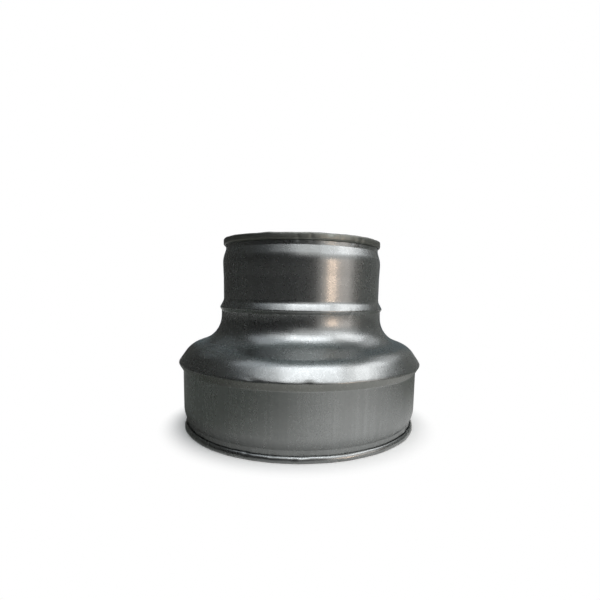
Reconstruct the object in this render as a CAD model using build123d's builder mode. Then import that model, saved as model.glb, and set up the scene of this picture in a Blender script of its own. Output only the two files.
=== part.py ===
"""A one-piece pressed duct reducer: a round spigot at each end, joined by a bell-shaped shoulder.

The whole fitting is one sheet of galvanised steel, so it is drawn as one sheet path, from the lip of
the lower hem to the lip of the upper hem, given the sheet's thickness and revolved about Z.
It stands on its large end, with the origin at the centre of that end. All sizes are millimetres.
"""

import os
from math import cos, radians, sin, tan

from build123d import *

# Sheet and overall sizes. Radii are to the outside face, lengths run from an open end to its stop.
sheet = 0.6
large_radius = 74.4
small_radius = 49.6
large_length = 41.2
small_length = 41.5
transition_height = 33.5

# The end form that both spigots share: an open hem folded outwards, a groove and a lead-in cone.
hem_height = 4.1
hem_clearance = 0.05
fold_gap = 0.8
fold_corners = 4
lip_gap = 0.35
groove_width = 2.2
lead_in_length = 5.9

# The ridge and the step under it, which stop the large duct.
ridge_height = 2.6
ridge_flat = 0.9
step_angle = 27.0

# The shoulder, from the ridge inwards: a cone, a flatter ramp and a wide hollow curve up to the neck.
cone_angle = 55.0
cone_length = 11.5
cone_bend = 11.0
ramp_angle = 20.0
hollow_bend = 17.0
bend_share = 0.95  # the most of a straight run that its sweeps may take
sweep_pull = 0.6  # how far each sweep leans into its corner, as a circular bend would

# The neck and the bead above it, which stops the small duct.
neck_height = 1.4
bead_height = 2.35
bead_flat = 0.8
bead_fall = 1.7
bead_rise = 4.0

# The sheet path runs in the middle of the sheet.
half_sheet = sheet / 2
fold_radius = (sheet + fold_gap) / 2
overall_height = large_length + transition_height + small_length


def middle_radius(outside_radius):
    """The radius of the sheet path where the outside of the sheet has this radius."""
    return outside_radius - half_sheet


def end_corners(outside_radius):
    """One spigot's corners, from the lip of its hem inwards, as radius and depth from the open end."""
    wall = middle_radius(outside_radius)
    hem = wall - hem_clearance
    groove = hem - 2 * fold_radius
    groove_end = hem_height + groove_width
    fold_turn = radians(180 / fold_corners)
    fold_reach = fold_radius / cos(fold_turn / 2)
    fold_angles = [fold_turn * (corner + 0.5) for corner in range(fold_corners)]
    fold = [
        (hem - fold_radius + fold_reach * cos(angle), half_sheet + fold_radius - fold_reach * sin(angle))
        for angle in fold_angles
    ]
    return [
        (groove + sheet + lip_gap, hem_height),
        *fold,
        (groove, groove_end),
        (wall, groove_end + lead_in_length),
    ]


def shoulder_corners():
    """The corners from the foot of the step to the root of the bead, as radius, height and reach."""
    cone = radians(cone_angle)
    ramp = radians(ramp_angle)
    large_wall = middle_radius(large_radius)
    small_wall = middle_radius(small_radius)
    ridge = large_wall + ridge_height
    ridge_bottom = large_length - ridge_flat / 2
    ridge_top = large_length + ridge_flat / 2
    cone_top = (ridge - cone_length * cos(cone), ridge_top + cone_length * sin(cone))

    neck = small_wall + neck_height
    crest = small_wall + bead_height
    crest_height = large_length + transition_height
    bead_bottom = crest_height - bead_flat / 2
    bead_top = crest_height + bead_flat / 2
    ramp_run = (cone_top[0] - neck) / cos(ramp)
    ramp_top = cone_top[1] + ramp_run * sin(ramp)
    neck_run = bead_bottom - bead_fall - ramp_top

    # Each sweep takes this much of the runs beside it, and both are eased where a run is too short.
    cone_reach = cone_bend * tan((cone - ramp) / 2)
    hollow_reach = hollow_bend * tan((radians(90) - ramp) / 2)
    ease = min(
        1,
        bend_share * cone_length / cone_reach,
        bend_share * ramp_run / (cone_reach + hollow_reach),
        bend_share * neck_run / hollow_reach,
    )
    return [
        (large_wall, ridge_bottom - ridge_height / tan(radians(step_angle)), 0),
        (ridge, ridge_bottom, 0),
        (ridge, ridge_top, 0),
        (*cone_top, cone_reach * ease),
        (neck, ramp_top, hollow_reach * ease),
        (neck, bead_bottom - bead_fall, 0),
        (crest, bead_bottom, 0),
        (crest, bead_top, 0),
        (small_wall, bead_top + bead_rise, 0),
    ]


large_end = [(radius, depth, 0) for radius, depth in end_corners(large_radius)]
small_end = [(radius, overall_height - depth, 0) for radius, depth in end_corners(small_radius)]
corners = [*large_end, *shoulder_corners(), *reversed(small_end)]

with BuildPart() as reducer_shell:
    with BuildSketch(Plane.XZ):
        with BuildLine():
            run_start = Vector(*corners[0][:2])
            for corner, after in zip(corners[1:], [*corners[2:], None]):
                turn = Vector(*corner[:2])
                reach = corner[2]
                if reach == 0:
                    Line(run_start, turn)
                    run_start = turn
                    continue
                sweep_start = turn + (run_start - turn).normalized() * reach
                sweep_end = turn + (Vector(*after[:2]) - turn).normalized() * reach
                Line(run_start, sweep_start)
                Bezier(
                    sweep_start,
                    sweep_start + (turn - sweep_start) * sweep_pull,
                    sweep_end + (turn - sweep_end) * sweep_pull,
                    sweep_end,
                )
                run_start = sweep_end
        trace(line_width=sheet)
    revolve(axis=Axis.Z)

reducer_shell.part.label = "reducer_shell"

os.makedirs("parts", exist_ok=True)
export_step(reducer_shell.part, "parts/reducer_shell.step")
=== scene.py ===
# %% [markdown]
# # A duct reducer in galvanised steel
#
# The fitting is one sheet of steel, pressed into a wide spigot, a bell-shaped shoulder and a narrow
# spigot. A measured solid gives the frame: everything in this lesson sits where that solid sits, in
# metres. The camera comes first, then the section of the sheet, its zinc finish, the pressed and dented
# sheet itself, and last the small studio that the metal mirrors.

# %% Load the frame
import math

import bpy
from mathutils import Matrix, Vector


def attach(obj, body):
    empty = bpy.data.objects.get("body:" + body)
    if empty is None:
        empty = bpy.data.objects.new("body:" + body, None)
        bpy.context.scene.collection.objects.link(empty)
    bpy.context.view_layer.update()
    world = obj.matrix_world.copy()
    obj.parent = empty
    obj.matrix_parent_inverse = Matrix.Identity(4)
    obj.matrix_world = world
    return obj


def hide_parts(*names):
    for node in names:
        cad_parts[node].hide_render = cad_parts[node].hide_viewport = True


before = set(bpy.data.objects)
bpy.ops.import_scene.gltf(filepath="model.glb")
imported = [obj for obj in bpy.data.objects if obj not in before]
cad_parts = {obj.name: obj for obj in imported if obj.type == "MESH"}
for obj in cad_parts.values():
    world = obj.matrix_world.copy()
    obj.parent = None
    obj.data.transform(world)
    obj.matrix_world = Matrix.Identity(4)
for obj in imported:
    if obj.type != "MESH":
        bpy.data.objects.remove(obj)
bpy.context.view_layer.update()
scene = bpy.context.scene
scene.view_settings.view_transform = "Standard"
MM = 0.001

# %% [markdown]
# ## Camera
#
# The camera stands close in front of the fitting, a little below the top rim, and looks slightly down.
# Its lens is wide, so the near side of the wide spigot bows down and the top rim bows up. A constraint
# could aim it, but a place, a pitch and a roll in plain numbers can be checked with a ruler. The lens's
# shift then slides the picture without turning the view.

# %% Set up the camera
image_size_px = 600
focal_length_px = 398.83
picture_centre_px = (314.678, 342.573)
camera_place = Vector((9.145, -262.635, 85.56)) * MM
camera_pitch = math.radians(7.372)
camera_roll = math.radians(1.129)

camera_data = bpy.data.cameras.new("front_camera")
camera_data.sensor_width = 36.0
camera_data.lens = camera_data.sensor_width * focal_length_px / image_size_px
camera_data.shift_x = (image_size_px / 2 - picture_centre_px[0]) / image_size_px
camera_data.shift_y = (picture_centre_px[1] - image_size_px / 2) / image_size_px
camera_data.clip_start = 10 * MM
camera = bpy.data.objects.new("front_camera", camera_data)
scene.collection.objects.link(camera)
camera.matrix_world = (
    Matrix.Translation(camera_place)
    @ Matrix.Rotation(math.pi / 2 - camera_pitch, 4, "X")
    @ Matrix.Rotation(camera_roll, 4, "Z")
)
scene.camera = camera
print(f"lens {camera_data.lens:.2f} mm, shift {camera_data.shift_x:.4f} and {camera_data.shift_y:.4f}")

# %% [markdown]
# ## The section of the sheet
#
# Cut the fitting in half and the sheet shows as one line, from the lip of the lower hem to the lip of the
# upper one. The shape could be put together from cylinders and cones, but then every bend would be a
# joint. A line of corners follows the sheet as the press does, and each corner carries the radius of its
# bend. Radii and heights are those of the middle of the sheet, in millimetres. The last number of each
# corner is its give, from 0 to 1: how much of the ripple of the folded hems it takes up later.
#
# Each spigot ends in a hem that is folded outwards. Behind the hem is a groove, and then a lead-in cone
# that guides the duct onto the straight wall. The small wall also swells a little past its lead-in.

# %% List the corners of one spigot
sheet = 0.6
large_wall = 74.1
small_wall = 49.3
hem_clearance = 0.05
hem_edge_bend = 0.5
fold_bend_share = 0.95
groove_gives = [(2.2, 0.9), (3.4, 0.8), (4.4, 0.6)]
groove_end, groove_end_bend, groove_end_give = 6.3, 2.0, 0.4
lead_in_bend = 15.0
swell_start, swell_end, wall_end = 15.0, 23.0, 27.0


def end_corners(wall, swell, fold_radius, lip, brow, lead_in_end):
    """One spigot's corners from the lip of its hem inwards: radius, depth from the open end, bend, give.

    lip is how far the lip lies in from the hem and from the open end, brow is the depth and the bend of the
    corner where the hem turns in to its lip, and swell is how far the wall bulges behind the lead-in.
    """
    hem = wall - hem_clearance
    groove = hem - 2 * fold_radius
    # Corners that lie in one straight line have nothing to round.
    swell_bends = (24.0, 48.0) if swell else (0, 0)
    return [
        (hem - lip[0], lip[1], 0, 1.0),
        (hem, *brow, 1.0),
        (hem, sheet / 2, hem_edge_bend, 1.0),
        (groove, sheet / 2, fold_bend_share * fold_radius, 1.0),
        *[(groove, depth, 0, give) for depth, give in groove_gives],
        (groove, groove_end, groove_end_bend, groove_end_give),
        (wall + swell, lead_in_end, lead_in_bend, 0),
        (wall + swell, swell_start, swell_bends[0], 0),
        (wall, swell_end, swell_bends[1], 0),
        (wall, wall_end, 0, 0),
    ]


large_end = end_corners(
    large_wall, swell=0, fold_radius=0.97, lip=(1.05, 3.05), brow=(2.3, 2.6), lead_in_end=11.0
)
small_end = end_corners(
    small_wall, swell=0.3, fold_radius=0.7, lip=(0.7, 3.7), brow=(3.2, 1.0), lead_in_end=12.2
)
print(f"{len(large_end)} corners for each spigot")

# %% [markdown]
# Between the spigots come the step and the ridge that stop the large duct, a cone, a flatter ramp, a wide
# hollow up to the neck, and the bead that stops the small duct. The corners are listed from the bottom
# up, and the small spigot, which was listed from its open end, is turned over to close the line at the
# top.

# %% List the corners of the whole section
overall_height = 116.2
ridge_height = 41.2
ridge_crest = large_wall + 2.7
bead_height = 74.7
bead_crest = small_wall + 2.5
bead_foot = bead_height - 1.9
bead_root = bead_height + 4.4
neck = small_wall + 1.4

# Each corner is a radius, a height, a bend and a give.
step_and_ridge = [(large_wall, 36.9, 1.5, 0), (75.45, 39.05, 0, 0.2), (ridge_crest, ridge_height, 0.9, 0.5)]
cone = [(76.0, 42.35, 0, 0.2), (75.14, 43.58, 0, 0.05), (74.16, 44.97, 0, 0), (70.09, 50.78, 14.0, 0)]
ramp_to_neck = [(neck, 57.84, 17.0, 0)]
bead = [(neck, bead_foot, 1.2, 0.2), (bead_crest, bead_height, 0.9, 0.4), (small_wall, bead_root, 5.5, 0)]
top_end = [(radius, overall_height - depth, bend, give) for radius, depth, bend, give in small_end]

section = [*large_end, *step_and_ridge, *cone, *ramp_to_neck, *bead, *reversed(top_end)]
print(f"{len(section)} corners, from height {section[0][1]:.1f} to {section[-1][1]:.1f} mm")

# %% [markdown]
# ## Helpers
#
# Node trees are built in code here, so one small function adds a node, sets it up and links its inputs. A
# second one turns the hex colours that people write into the linear values that shaders work in.

# %% Define the helpers
def add_node(tree, kind, settings=None, inputs=None):
    """Add one node: settings are its properties, inputs are plain values or output sockets to link."""
    node = tree.nodes.new(kind)
    for name, value in (settings or {}).items():
        setattr(node, name, value)
    for key, value in (inputs or {}).items():
        if isinstance(value, bpy.types.NodeSocket):
            tree.links.new(value, node.inputs[key])
        else:
            node.inputs[key].default_value = value
    return node


def linear(hex_colour):
    """Turn an sRGB hex colour into linear RGBA."""
    channels = [int(hex_colour[start:start + 2], 16) / 255 for start in (1, 3, 5)]
    return (*[c / 12.92 if c <= 0.04045 else ((c + 0.055) / 1.055) ** 2.4 for c in channels], 1.0)


print("mid grey in linear light:", [round(channel, 3) for channel in linear("#808080")])

# %% [markdown]
# ## Galvanised steel
#
# The sheet is mild steel dipped in molten zinc, rolled smooth and then pressed. To the eye it is a cool
# satin grey: soft reflections, broken into a sandy grain by the zinc's crystals, with a tone that drifts
# from patch to patch. A metal has no colour under its reflections, so the base colour is how much light
# the zinc sends back. A picture of zinc could be wrapped round the part, but noise that is worked out
# from the place on the part has no seam and no stretched spots.

# %% Start the galvanised steel
steel = bpy.data.materials.new("galvanised_steel")
steel.use_nodes = True
tree = steel.node_tree
shader = tree.nodes["Principled BSDF"]
shader.inputs["Metallic"].default_value = 1.0

coords = add_node(tree, "ShaderNodeTexCoord").outputs["Object"]
level = add_node(tree, "ShaderNodeSeparateXYZ", inputs={0: coords}).outputs["Z"]
print(f"{steel.name} reads its patterns from {coords.name} coordinates")

# %% [markdown]
# ### Crystals, patches and streaks
#
# The crystals of such a smooth coating are a few tenths of a millimetre across, less than a pixel here,
# so the grain and the crystals are drawn several times as coarse, which is as coarse as they need to be
# to show. Patches come from the thickness of the zinc. Drawing the sheet over the tool leaves faint
# upright streaks on the walls: these are the same noise, with Z almost left out, so that each spot
# becomes a long line.

# %% Draw the patterns of the zinc
upright = add_node(
    tree, "ShaderNodeVectorMath", {"operation": "MULTIPLY"}, {0: coords, 1: (1.0, 1.0, 0.02)}
).outputs["Vector"]

pattern = {}
for name, place, size_mm, detail in (
    ("grain", coords, 0.8, 2.0),
    ("crystal", coords, 1.7, 1.0),
    ("patch", coords, 28.0, 3.0),
    ("streak", upright, 2.2, 2.0),
):
    pattern[name] = add_node(
        tree, "ShaderNodeTexNoise", inputs={"Vector": place, "Scale": 1 / (size_mm * MM), "Detail": detail}
    ).outputs["Fac"]
print("patterns:", ", ".join(pattern))

# %% [markdown]
# ### Press rings
#
# The punch leaves fine rings on the shoulder. Going down the bell the radius grows and the height falls,
# so radius less height grows all the way, and noise along that one number makes rings that run right
# round.

# %% Draw the press rings
ring_mm = 1.1

flat = add_node(tree, "ShaderNodeVectorMath", {"operation": "MULTIPLY"}, {0: coords, 1: (1.0, 1.0, 0.0)})
radius = add_node(tree, "ShaderNodeVectorMath", {"operation": "LENGTH"}, {0: flat.outputs["Vector"]})
along = add_node(tree, "ShaderNodeMath", {"operation": "SUBTRACT"}, {0: radius.outputs["Value"], 1: level})
pattern["ring"] = add_node(
    tree,
    "ShaderNodeTexNoise",
    {"noise_dimensions": "1D"},
    {"W": along.outputs["Value"], "Scale": 1 / (ring_mm * MM), "Detail": 2.0},
).outputs["Fac"]
print(f"press rings about {ring_mm} mm apart")

# %% [markdown]
# ### Bands of height
#
# Some finishes belong to one part of the fitting: rings to the shoulder, grime with painted shade to the
# angle under the ridge, a dull coat to the top hem, and a stronger grain to all that lies above the ridge,
# where the sheet is stretched the most. Each could have a material of its own, but then every border would
# be a hard line. A band is a smooth change from one value to another between two heights, and two bands
# multiplied have two soft ends.

# %% Mark the bands
band = {}
for name, start_mm, end_mm, start_value, end_value in (
    ("above_ridge", 46, 50, 0, 1),
    ("below_bead", 72, 58, 0, 1),
    ("above_step_foot", 36.4, 37.6, 0, 1),
    ("below_crest", 41.4, 40.8, 0, 1),
    ("top_hem", 111.6, 112.6, 0, 1),
    ("grain_share", 36, 46, 0.16, 0.4),
    ("grain_relief", 36, 46, 0.5, 1.0),
):
    band[name] = add_node(
        tree,
        "ShaderNodeMapRange",
        {"interpolation_type": "SMOOTHSTEP"},
        {
            "Value": level,
            "From Min": start_mm * MM,
            "From Max": end_mm * MM,
            "To Min": start_value,
            "To Max": end_value,
        },
    ).outputs["Result"]

for name, lower_end, upper_end in (
    ("shoulder", "above_ridge", "below_bead"),
    # the angle under the ridge, which carries grime and painted shade
    ("under_ridge_grime_and_shade", "above_step_foot", "below_crest"),
):
    band[name] = add_node(
        tree, "ShaderNodeMath", {"operation": "MULTIPLY"}, {0: band[lower_end], 1: band[upper_end]}
    ).outputs["Value"]
print("bands:", ", ".join(band))

# %% [markdown]
# ### Colour
#
# The patterns are laid over each other into one tone, and the tone picks a grey between a dark and a light
# zinc. Grime and painted shade in the angle under the ridge, and the dull top hem, then darken it.

# %% Mix the colour
tone_low, tone_high = 0.3, 0.7
# The names of these sockets repeat on their nodes, so the sockets are picked by number.
mix_under, mix_over, mix_result = 6, 7, 2
map_from_min, map_from_max, map_to_min, map_to_max = 7, 8, 9, 10

tone = pattern["patch"]
for name, share in (("streak", 0.6), ("crystal", 0.25), ("grain", band["grain_share"])):
    tone = add_node(
        tree, "ShaderNodeMix", {"data_type": "FLOAT"}, {"Factor": share, "A": tone, "B": pattern[name]}
    ).outputs["Result"]
colour = add_node(
    tree,
    "ShaderNodeMapRange",
    {"data_type": "FLOAT_VECTOR"},
    {
        "Vector": tone,
        map_from_min: (tone_low,) * 3,
        map_from_max: (tone_high,) * 3,
        map_to_min: linear("#868887")[:3],
        map_to_max: linear("#989A99")[:3],
    },
).outputs["Vector"]
# Under the ridge the darker tint is real grime and painted shade together; on the top hem it is a dull
# coat.
for name, tint in (("under_ridge_grime_and_shade", "#E4E3DE"), ("top_hem", "#DADAD2")):
    colour = add_node(
        tree,
        "ShaderNodeMix",
        {"data_type": "RGBA", "blend_type": "MULTIPLY"},
        {"Factor": band[name], mix_under: colour, mix_over: linear(tint)},
    ).outputs[mix_result]
tree.links.new(colour, shader.inputs["Base Color"])
print(f"colour mixed, {len(tree.nodes)} nodes so far")

# %% [markdown]
# ### Gloss and relief
#
# Light patches of zinc are a little smoother than dark ones, and the top hem is the dullest place. The
# relief is only hundredths of a millimetre deep, too little to model, so bumps tilt the light instead.
# They are laid on one after another, each with a depth of its own.

# %% Set the gloss and the relief
rough_dark, rough_light = 0.31, 0.25
top_hem_dulling = 0.14
grain_depth_mm = 0.018

gloss = add_node(
    tree,
    "ShaderNodeMapRange",
    inputs={
        "Value": tone,
        "From Min": tone_low,
        "From Max": tone_high,
        "To Min": rough_dark,
        "To Max": rough_light,
    },
).outputs["Result"]
roughness = add_node(
    tree,
    "ShaderNodeMath",
    {"operation": "MULTIPLY_ADD"},
    {0: band["top_hem"], 1: top_hem_dulling, 2: gloss},
).outputs["Value"]
tree.links.new(roughness, shader.inputs["Roughness"])

normal = add_node(
    tree,
    "ShaderNodeBump",
    inputs={"Height": pattern["grain"], "Strength": band["grain_relief"], "Distance": grain_depth_mm * MM},
).outputs["Normal"]
for name, strength, depth_mm in (
    ("crystal", band["grain_relief"], 0.014),
    ("streak", 1.0, 0.009),
    ("ring", band["shoulder"], 0.035),
):
    normal = add_node(
        tree,
        "ShaderNodeBump",
        inputs={"Height": pattern[name], "Strength": strength, "Distance": depth_mm * MM, "Normal": normal},
    ).outputs["Normal"]
tree.links.new(normal, shader.inputs["Normal"])
print(f"galvanised steel with {len(tree.nodes)} nodes")

# %% [markdown]
# ## Pressing the sheet
#
# A turned shape follows a rule, so Geometry Nodes make it: round the section's corners, then sweep the
# section round a circle. A Screw modifier could turn it too, but it couldn't round the bends or ripple
# the hems. The section goes in as a mesh of edges, because the points of a mesh can carry each corner's
# bend and give. The sweep lays the section's +Y axis downwards, so heights are written as negative Y.

# %% Draw the section
small_bend_steps, wide_bend_steps = 4, 7
wide_bend = 5.0


def steps_round(bend):
    """How many steps a bend is rounded with. A corner without a bend stays one corner."""
    if bend == 0:
        return 1
    return wide_bend_steps if bend > wide_bend else small_bend_steps


section_mesh = bpy.data.meshes.new("section")
section_mesh.from_pydata(
    [(radius * MM, -height * MM, 0) for radius, height, _, _ in section],
    [(index, index + 1) for index in range(len(section) - 1)],
    [],
)
for name, kind in (("bend", "FLOAT"), ("bend_steps", "INT"), ("give", "FLOAT")):
    section_mesh.attributes.new(name, kind, "POINT")
for index, (_, _, bend, give) in enumerate(section):
    section_mesh.attributes["bend"].data[index].value = bend * MM
    section_mesh.attributes["bend_steps"].data[index].value = steps_round(bend)
    section_mesh.attributes["give"].data[index].value = give
section_object = bpy.data.objects.new("section", section_mesh)
scene.collection.objects.link(section_object)
print(f"section with {len(section_mesh.vertices)} points")

# %% [markdown]
# The tree's sizes are named inputs, so that the modifier shows them as sliders. The circle that the
# section is swept round is too small to see: it stands for the axis, and the section's own X is the
# radius.

# %% Build the pressing tree
axis_radius = 0.001 * MM

pressing = bpy.data.node_groups.new("press_sheet", "GeometryNodeTree")
pressing.interface.new_socket("Geometry", in_out="INPUT", socket_type="NodeSocketGeometry")
press_settings = {
    "Steps round": ("NodeSocketInt", 360),
    "Overall height": ("NodeSocketFloat", overall_height * MM),
    "Ripple depth": ("NodeSocketFloat", 0.35 * MM),
    "Ripple length": ("NodeSocketFloat", 9.0 * MM),
    "Seed": ("NodeSocketFloat", 4.0),
    "Material": ("NodeSocketMaterial", steel),
}
identifiers = {
    name: pressing.interface.new_socket(name, in_out="INPUT", socket_type=kind).identifier
    for name, (kind, _) in press_settings.items()
}
pressing.interface.new_socket("Geometry", in_out="OUTPUT", socket_type="NodeSocketGeometry")
given = add_node(pressing, "NodeGroupInput").outputs
read = {
    name: add_node(
        pressing, "GeometryNodeInputNamedAttribute", {"data_type": kind}, {"Name": name}
    ).outputs["Attribute"]
    for name, kind in (("bend", "FLOAT"), ("bend_steps", "INT"), ("give", "FLOAT"))
}

line = add_node(pressing, "GeometryNodeMeshToCurve", inputs={"Mesh": given["Geometry"]}).outputs["Curve"]
rounded = add_node(
    pressing,
    "GeometryNodeFilletCurve",
    {"mode": "POLY"},
    {"Curve": line, "Count": read["bend_steps"], "Radius": read["bend"], "Limit Radius": True},
).outputs["Curve"]
axis_circle = add_node(
    pressing,
    "GeometryNodeCurvePrimitiveCircle",
    {"mode": "RADIUS"},
    {"Resolution": given["Steps round"], "Radius": axis_radius},
).outputs["Curve"]
swept = add_node(
    pressing, "GeometryNodeCurveToMesh", inputs={"Curve": axis_circle, "Profile Curve": rounded}
).outputs["Mesh"]
print(f"sweep ready, {len(pressing.nodes)} nodes so far")

# %% [markdown]
# Folding the hems ripples them, and a hem that has been knocked about is never quite round. A noise pulls
# each point a little towards the middle of the fitting, as far as its corner gives. It could push both
# ways, but a pull that only goes inwards keeps the fitting within its measured size.

# %% Ripple the hems
ripple_from, ripple_full = 0.35, 0.7

place = add_node(pressing, "GeometryNodeInputPosition").outputs["Position"]
frequency = add_node(
    pressing, "ShaderNodeMath", {"operation": "DIVIDE"}, {0: 1.0, 1: given["Ripple length"]}
).outputs["Value"]
noise = add_node(
    pressing,
    "ShaderNodeTexNoise",
    {"noise_dimensions": "4D"},
    {"Vector": place, "W": given["Seed"], "Scale": frequency, "Detail": 2.0},
).outputs["Fac"]
pull = add_node(
    pressing,
    "ShaderNodeMapRange",
    inputs={"Value": noise, "From Min": ripple_from, "From Max": ripple_full},
).outputs["Result"]
for limit in (read["give"], given["Ripple depth"]):
    pull = add_node(
        pressing, "ShaderNodeMath", {"operation": "MULTIPLY"}, {0: pull, 1: limit}
    ).outputs["Value"]

half_height = add_node(
    pressing, "ShaderNodeMath", {"operation": "MULTIPLY"}, {0: given["Overall height"], 1: 0.5}
).outputs["Value"]
middle = add_node(pressing, "ShaderNodeCombineXYZ", inputs={"Z": half_height}).outputs["Vector"]
inward = add_node(
    pressing, "ShaderNodeVectorMath", {"operation": "SUBTRACT"}, {0: middle, 1: place}
).outputs["Vector"]
inward = add_node(
    pressing, "ShaderNodeVectorMath", {"operation": "NORMALIZE"}, {0: inward}
).outputs["Vector"]
offset = add_node(
    pressing, "ShaderNodeVectorMath", {"operation": "SCALE"}, {0: inward, "Scale": pull}
).outputs["Vector"]
rippled = add_node(
    pressing, "GeometryNodeSetPosition", inputs={"Geometry": swept, "Offset": offset}
).outputs["Geometry"]
print(f"ripple added, {len(pressing.nodes)} nodes so far")

# %% [markdown]
# The tree ends with smooth shading, plain geometry and the material. The result is then taken out of the
# modifier as a plain mesh, because the next step moves its points by hand.

# %% Press the sheet
pressed = rippled
for kind, inputs in (
    ("GeometryNodeSetShadeSmooth", {}),
    ("GeometryNodeRealizeInstances", {}),
    ("GeometryNodeSetMaterial", {"Material": given["Material"]}),
):
    pressed = add_node(pressing, kind, inputs={"Geometry": pressed, **inputs}).outputs["Geometry"]
add_node(pressing, "NodeGroupOutput", inputs={"Geometry": pressed})


def plain_mesh(source, name):
    """Evaluate an object with its modifiers and keep the result as a plain mesh."""
    evaluated = source.evaluated_get(bpy.context.evaluated_depsgraph_get())
    mesh = bpy.data.meshes.new_from_object(evaluated)
    mesh.name = name
    return mesh


press = section_object.modifiers.new("press", "NODES")
press.node_group = pressing
for name, (_, value) in press_settings.items():
    press[identifiers[name]] = value
shell_mesh = plain_mesh(section_object, "shell")
bpy.data.objects.remove(section_object)
print(f"pressed sheet with {len(shell_mesh.vertices)} points")

# %% [markdown]
# ## Knocks
#
# The fitting has been handled: the bead and the ridge carry small nicks, and both hems have a few kinks.
# A noise could scatter such marks, but the front ones are in known places, so they are listed, with a few
# more round the back. Each knock is an oval spot on the sheet that is pushed towards the axis, deepest at
# its centre. All the layers of a folded hem move together, so the fold never cuts through itself.

# %% List the knocks
# Azimuth in degrees, 0 at the front and growing to the right. Then height, reach round the ring, reach
# up and down, and depth, all in millimetres.
ring_knocks = {
    bead_crest: [
        (-31.6, 73.8, 1.9, 1.6, 0.35),
        (34.4, 73.9, 1.8, 1.6, 0.30),
        (118.0, 73.9, 2.0, 1.6, 0.35),
        (-142.0, 74.0, 1.8, 1.6, 0.30),
    ],
    ridge_crest: [
        (5.2, 41.2, 3.4, 1.3, 0.35),
        (3.3, 41.0, 1.4, 1.1, 0.15),
        (7.3, 41.0, 1.4, 1.1, 0.15),
        (-18.6, 42.5, 1.6, 0.9, 0.14),
        (-16.8, 42.1, 1.8, 1.0, 0.20),
        (-14.9, 41.6, 1.9, 1.0, 0.24),
        (-12.8, 41.2, 1.9, 1.0, 0.26),
        (-9.8, 40.9, 1.6, 1.0, 0.22),
        (-6.9, 40.9, 1.5, 1.0, 0.20),
        (-33.0, 41.0, 1.9, 1.0, 0.22),
        (24.0, 41.0, 2.2, 1.0, 0.20),
        (97.0, 41.2, 3.4, 1.4, 0.35),
        (-118.0, 41.2, 2.6, 1.2, 0.30),
        (171.0, 41.3, 3.0, 1.3, 0.32),
    ],
    small_wall: [
        (-9.8, 115.4, 1.6, 2.2, 0.25),
        (-0.6, 113.0, 1.5, 1.6, 0.42),
        (7.6, 113.8, 1.4, 2.6, 0.32),
        (20.0, 115.8, 2.6, 1.6, 0.55),
        (27.0, 114.2, 1.4, 2.6, 0.35),
        (37.5, 112.9, 2.0, 1.4, 0.45),
        (44.0, 113.4, 2.2, 2.0, 0.45),
        (-96.0, 114.8, 2.6, 2.6, 0.5),
        (152.0, 113.6, 2.2, 2.2, 0.5),
    ],
    large_wall: [
        (3.4, 3.7, 3.0, 1.5, 0.50),
        (0.2, 2.0, 1.5, 1.4, 0.30),
        (-8.9, 3.4, 1.6, 1.6, 0.35),
        (-19.6, 3.0, 1.8, 2.2, 0.45),
        (21.5, 3.6, 1.8, 1.4, 0.30),
        (64.0, 3.0, 2.4, 2.4, 0.45),
        (131.0, 2.6, 2.4, 2.4, 0.45),
        (-77.0, 3.0, 2.4, 2.4, 0.45),
    ],
}
knocks = [(ring_radius, *knock) for ring_radius, ring in ring_knocks.items() for knock in ring]
print(f"{len(knocks)} knocks, the deepest {max(knock[-1] for knock in knocks)} mm")

# %% [markdown]
# A sculpting brush could press the dents in by hand, but a rule gives the same dents each time. Nearness
# is 1 at the centre of a knock and 0 at its edge, and its square lets the dent run out without a crease.

# %% Dent the sheet
dented = 0
for vertex in shell_mesh.vertices:
    x, y, z = vertex.co / MM
    azimuth = math.degrees(math.atan2(x, -y))
    push = 0.0
    for ring_radius, knock_azimuth, knock_height, reach_round, reach_up, depth in knocks:
        if abs(z - knock_height) >= reach_up:
            continue
        turn = (azimuth - knock_azimuth + 180) % 360 - 180
        across = ring_radius * math.radians(turn) / reach_round
        nearness = 1 - across**2 - ((z - knock_height) / reach_up) ** 2
        if nearness > 0:
            push += depth * nearness**2
    if push > 0:
        vertex.co -= Vector((x, y, 0)).normalized() * push * MM
        dented += 1
print(f"{dented} points dented")

# %% [markdown]
# ## Thickness
#
# The mesh so far is the middle of the sheet and has no thickness. A second wall could be swept beside it,
# but Solidify follows the ripple and every dent by itself. Half of the thickness goes to each side, and
# the rims are closed, so the shell is one closed skin. It then takes the place of the solid in the frame.

# %% Thicken the sheet
sheet_object = bpy.data.objects.new("sheet", shell_mesh)
scene.collection.objects.link(sheet_object)
thicken = sheet_object.modifiers.new("thicken", "SOLIDIFY")
thicken.thickness = sheet * MM
thicken.offset = 0.0
shell = bpy.data.objects.new("shell", plain_mesh(sheet_object, "shell_thick"))
scene.collection.objects.link(shell)
bpy.data.objects.remove(sheet_object)

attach(shell, "root")
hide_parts("reducer_shell")
print(f"shell with {len(shell.data.vertices)} points and {len(shell.data.polygons)} faces")

# %% [markdown]
# ## Floor and background
#
# The fitting stands on a pale matt floor that fades to white a little way off, where the floor meets a
# white background without a line. A floor that is white all over would lose the shadow that shows where
# the fitting stands. The paint has no gloss at all, and the same paint does for the cloths further on.

# %% Lay the floor
floor_half = 6.0
square = ((-1, -1), (1, -1), (1, 1), (-1, 1))


def matt_paint(name, hex_colour):
    """A plain matt material with no gloss at all."""
    material = bpy.data.materials.new(name)
    material.use_nodes = True
    paint = material.node_tree.nodes["Principled BSDF"]
    paint.inputs["Base Color"].default_value = linear(hex_colour)
    paint.inputs["Roughness"].default_value = 1.0
    paint.inputs["Specular IOR Level"].default_value = 0.0
    return material


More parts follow.
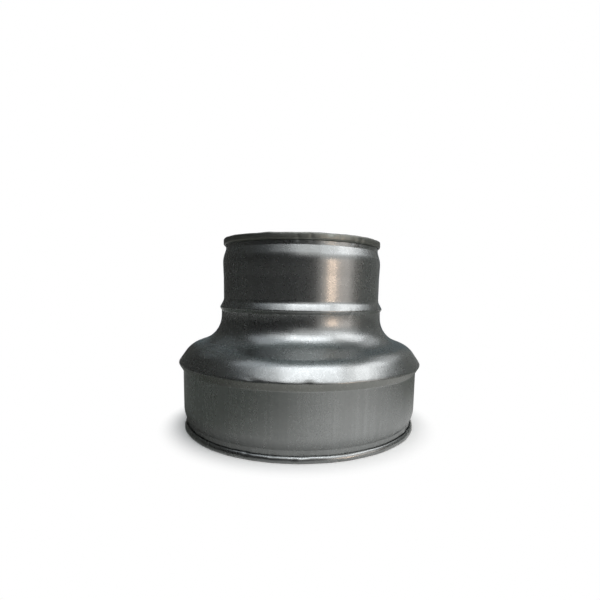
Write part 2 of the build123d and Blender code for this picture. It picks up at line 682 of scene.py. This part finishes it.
floor_mesh = bpy.data.meshes.new("floor")
floor_mesh.from_pydata([(x * floor_half, y * floor_half, 0) for x, y in square], [], [(0, 1, 2, 3)])
floor_paint = matt_paint("floor_paint", "#F4F4F2")
floor_mesh.materials.append(floor_paint)
floor = bpy.data.objects.new("floor", floor_mesh)
scene.collection.objects.link(floor)
print(f"floor {2 * floor_half} m wide")

# %% [markdown]
# The fade is a glow of strength 1, which is plain white, mixed in by the distance from the fitting. Only
# rays from the camera, or off metal and through glass, meet the glow. So reflections agree with the
# picture, and matt things get no extra light from it. The world round the floor is the same white.

# %% Fade the floor to white
fade_start, fade_end = 70 * MM, 91 * MM
white = (1.0, 1.0, 1.0, 1.0)

tree = floor_paint.node_tree
place = add_node(tree, "ShaderNodeTexCoord").outputs["Object"]
distance = add_node(tree, "ShaderNodeVectorMath", {"operation": "LENGTH"}, {0: place}).outputs["Value"]
fade = add_node(
    tree,
    "ShaderNodeMapRange",
    {"interpolation_type": "SMOOTHSTEP"},
    {"Value": distance, "From Min": fade_start, "From Max": fade_end},
).outputs["Result"]
path = add_node(tree, "ShaderNodeLightPath").outputs
seen = path["Is Camera Ray"]
for ray in ("Is Glossy Ray", "Is Transmission Ray"):
    seen = add_node(
        tree, "ShaderNodeMath", {"operation": "MAXIMUM"}, {0: seen, 1: path[ray]}
    ).outputs["Value"]
share = add_node(tree, "ShaderNodeMath", {"operation": "MULTIPLY"}, {0: fade, 1: seen}).outputs["Value"]
glow = add_node(tree, "ShaderNodeEmission", inputs={"Color": white, "Strength": 1.0}).outputs["Emission"]
paint = tree.nodes["Principled BSDF"].outputs["BSDF"]
mixed = add_node(tree, "ShaderNodeMixShader", inputs={0: share, 1: paint, 2: glow}).outputs["Shader"]
tree.links.new(mixed, tree.nodes["Material Output"].inputs["Surface"])

world = bpy.data.worlds.new("white_room")
scene.world = world
world.use_nodes = True
background = world.node_tree.nodes["Background"]
background.inputs["Color"].default_value = white
background.inputs["Strength"].default_value = 1.0
print(f"floor fades to white from {fade_start / MM:.0f} to {fade_end / MM:.0f} mm")

# %% [markdown]
# ## Lamps
#
# Metal shows what stands round it, so the lamps are placed by where the fitting mirrors them. Two cool
# softboxes above the front and the right make the bright bands on the bead, the hollow and the shoulder,
# and a low window fills the gap between them. A warm strip makes the glow on the small spigot, with a dim
# warm panel beside it. Panels at the left and the right soften the dark sides, and a softbox and a panel
# behind the fitting do the same for its far side. The camera doesn't see the lamps themselves.

# %% Hang the lamps
aim = Vector((0, 0, 65 * MM))


def toward(azimuth, elevation):
    """The direction from the fitting to a lamp: azimuth 0 faces the camera and grows to its right."""
    azimuth, elevation = math.radians(azimuth), math.radians(elevation)
    flat_part = math.cos(elevation)
    return Vector((flat_part * math.sin(azimuth), -flat_part * math.cos(azimuth), math.sin(elevation)))


def add_lamp(name, azimuth, elevation, distance, size, radiance, hex_colour):
    """Hang one flat lamp that faces the fitting, in degrees and metres.

    Radiance is the brightness of the lamp's face, and its power follows from that.
    """
    data = bpy.data.lights.new(name, "AREA")
    data.shape = "RECTANGLE"
    data.size, data.size_y = size
    data.color = linear(hex_colour)[:3]
    data.energy = radiance * math.pi * size[0] * size[1]
    lamp = bpy.data.objects.new(name, data)
    scene.collection.objects.link(lamp)
    direction = toward(azimuth, elevation)
    lamp.location = aim + direction * distance
    lamp.rotation_euler = direction.to_track_quat("Z", "Y").to_euler()
    lamp.visible_camera = False


add_lamp("softbox", 15, 54.3, 0.40, (0.33, 0.14), 3.75, "#F8FAFF")
add_lamp("side_softbox", 78, 38.5, 0.40, (0.25, 0.12), 2.75, "#FCFCFF")
add_lamp("left_panel", -53, 55, 0.40, (0.27, 0.19), 0.9, "#F0F6FF")
add_lamp("low_window", 44, 33, 0.42, (0.18, 0.06), 1.7, "#F8FAFF")
add_lamp("warm_strip", 42, 6.0, 0.45, (0.07, 0.072), 6.8, "#FFDCC0")
add_lamp("warm_panel", 61, 6, 0.50, (0.19, 0.14), 0.6, "#FFE7DA")
add_lamp("right_panel", 114, 35, 0.45, (0.26, 0.16), 0.8, "#FCFCFF")
add_lamp("rear_softbox", 178, 61, 0.45, (0.34, 0.11), 1.1, "#F4F8FF")
add_lamp("rear_panel", 184, 9, 0.52, (0.40, 0.15), 1.1, "#FFF8F2")
print(f"{len(bpy.data.lights)} lamps")

# %% [markdown]
# ## Curtains
#
# A shiny part in a white room looks pale and flat, so a photographer stands dark cloth round it. A darker
# world would do the same from every side at once, but then no wall could be lighter than another. The
# camera looks past the curtains, and the fitting mirrors them, which gives its walls their dark tone.

# %% Stand the curtains
curtain_steps = 24


def add_curtain(name, span, distance, height, hex_colour):
    """Stand a curtain on the floor round part of the fitting, out of the camera's sight."""
    start, end = span
    azimuths = [start + (end - start) * step / curtain_steps for step in range(curtain_steps + 1)]
    feet = [toward(azimuth, 0) * distance for azimuth in azimuths]
    mesh = bpy.data.meshes.new(name)
    mesh.from_pydata(
        [foot + Vector((0, 0, z)) for foot in feet for z in (0, height)],
        [],
        [(2 * step, 2 * step + 2, 2 * step + 3, 2 * step + 1) for step in range(curtain_steps)],
    )
    mesh.materials.append(matt_paint(name, hex_colour))
    curtain = bpy.data.objects.new(name, mesh)
    scene.collection.objects.link(curtain)
    curtain.visible_camera = False


add_curtain("front_curtain", (-6, 26), 0.60, 0.32, "#6A686A")
add_curtain("front_left_curtain", (-70, -6), 0.60, 0.57, "#5A595A")
add_curtain("low_left_curtain", (-150, -48), 0.62, 0.35, "#6A6A68")
add_curtain("left_curtain", (-112, -48), 0.64, 1.30, "#7A7A78")
add_curtain("rear_left_curtain", (-150, -108), 0.66, 1.30, "#A4A9AB")
add_curtain("back_curtain", (-210, -150), 0.70, 1.40, "#9AA8AE")
add_curtain("low_right_curtain", (28, 74), 0.58, 0.05, "#8A8680")
add_curtain("warm_curtain", (74, 90), 0.60, 0.25, "#D8D2CC")
add_curtain("right_curtain", (90, 150), 0.62, 0.33, "#B4B5B2")
add_curtain("tall_right_curtain", (84, 150), 0.64, 1.30, "#C4C8C8")

# %% [markdown]
# ## Ceiling
#
# The ramp of the shoulder looks almost straight up, so it mirrors what hangs over the fitting. A white
# world would burn it out. A cool grey ceiling, well above the lamps, keeps it a shade darker than the
# softboxes.

# %% Hang the ceiling
ceiling_half = 0.55
ceiling_height = 1.2

ceiling_mesh = bpy.data.meshes.new("ceiling")
ceiling_mesh.from_pydata(
    [(x * ceiling_half, y * ceiling_half, ceiling_height) for x, y in square], [], [(3, 2, 1, 0)]
)
ceiling_mesh.materials.append(matt_paint("ceiling", "#D2E1E4"))
ceiling = bpy.data.objects.new("ceiling", ceiling_mesh)
scene.collection.objects.link(ceiling)
ceiling.visible_camera = False
print(f"ceiling {2 * ceiling_half} m wide, {ceiling_height} m up")

# %% [markdown]
# ## Painted floor shade
#
# The walls mirror the floor too, and a white floor would make them pale from below. A ring of painted shade
# round the foot, a dark sheet that only reflections see, gives them their grey. A darker floor would do
# that as well, but it would show in the picture, so the sheet is there for reflections alone: the camera
# looks through it, and it throws no shadow on the floor.

# %% Lay the sheet of painted floor shade
mat_inner, mat_ring_width, mat_ring_count = 74.8, 20, 20
mat_steps = 48
mat_lift = Vector((0, 0, 0.3 * MM))

mat_radii = [(mat_inner + mat_ring_width * ring) * MM for ring in range(mat_ring_count)]
mat_points = [
    toward(360 * step / mat_steps, 0) * mat_radius + mat_lift
    for mat_radius in mat_radii
    for step in range(mat_steps)
]
mat_faces = []
for ring in range(mat_ring_count - 1):
    inner, outer = ring * mat_steps, (ring + 1) * mat_steps
    for step in range(mat_steps):
        after = (step + 1) % mat_steps
        mat_faces.append((inner + step, inner + after, outer + after, outer + step))
mat_mesh = bpy.data.meshes.new("painted_shade_sheet")
mat_mesh.from_pydata(mat_points, [], mat_faces)

# This sheet is painted shade on the floor, seen only in reflections.
painted_shade_sheet = bpy.data.objects.new("painted_shade_sheet", mat_mesh)
scene.collection.objects.link(painted_shade_sheet)
painted_shade_sheet.visible_camera = False
painted_shade_sheet.visible_diffuse = False
painted_shade_sheet.visible_shadow = False
print(f"mat with {len(mat_mesh.polygons)} faces")

# %% [markdown]
# The painted shade is darkest at the foot, where it stands for the fitting's contact shadow, and it thins
# out round two clear spots, in front to the right and behind, where the lower wall mirrors a paler floor.

# %% Thin the painted shade out
# Painted contact shadow at the foot, and lighter painted shade further out.
foot_shadow_tone, outer_shade_tone = "#686964", "#8C8E88"
foot_start, foot_end = 80 * MM, 105 * MM
# The centre of each clear spot in millimetres, its two radii in metres, and the cover left inside it.
clear_spots = [((85, -100, 0), 0.0, 0.2, 0.0), ((-20, 220, 0), 0.09, 0.2, 0.15)]

floor_shade_paint = matt_paint("floor_shade_paint", outer_shade_tone)
mat_mesh.materials.append(floor_shade_paint)
tree = floor_shade_paint.node_tree
painted_shade = tree.nodes["Principled BSDF"]
place = add_node(tree, "ShaderNodeTexCoord").outputs["Object"]
from_axis = add_node(tree, "ShaderNodeVectorMath", {"operation": "LENGTH"}, {0: place}).outputs["Value"]
past_foot = add_node(
    tree,
    "ShaderNodeMapRange",
    {"interpolation_type": "SMOOTHSTEP"},
    {"Value": from_axis, "From Min": foot_start, "From Max": foot_end},
).outputs["Result"]
painted_shade_tone = add_node(
    tree,
    "ShaderNodeMix",
    {"data_type": "RGBA"},
    {"Factor": past_foot, mix_under: linear(foot_shadow_tone), mix_over: linear(outer_shade_tone)},
).outputs[mix_result]
tree.links.new(painted_shade_tone, painted_shade.inputs["Base Color"])

cover = 1.0
for centre, clear_radius, full_radius, cover_left in clear_spots:
    from_centre = add_node(
        tree, "ShaderNodeVectorMath", {"operation": "DISTANCE"}, {0: place, 1: Vector(centre) * MM}
    ).outputs["Value"]
    spot_cover = add_node(
        tree,
        "ShaderNodeMapRange",
        {"interpolation_type": "SMOOTHSTEP"},
        {"Value": from_centre, "From Min": clear_radius, "From Max": full_radius, "To Min": cover_left},
    ).outputs["Result"]
    cover = add_node(
        tree, "ShaderNodeMath", {"operation": "MULTIPLY"}, {0: cover, 1: spot_cover}
    ).outputs["Value"]
clear = add_node(tree, "ShaderNodeBsdfTransparent").outputs["BSDF"]
shade_bsdf = painted_shade.outputs["BSDF"]
mixed = add_node(tree, "ShaderNodeMixShader", inputs={0: cover, 1: clear, 2: shade_bsdf}).outputs["Shader"]
tree.links.new(mixed, tree.nodes["Material Output"].inputs["Surface"])
print(f"felt with {len(clear_spots)} clear spots")
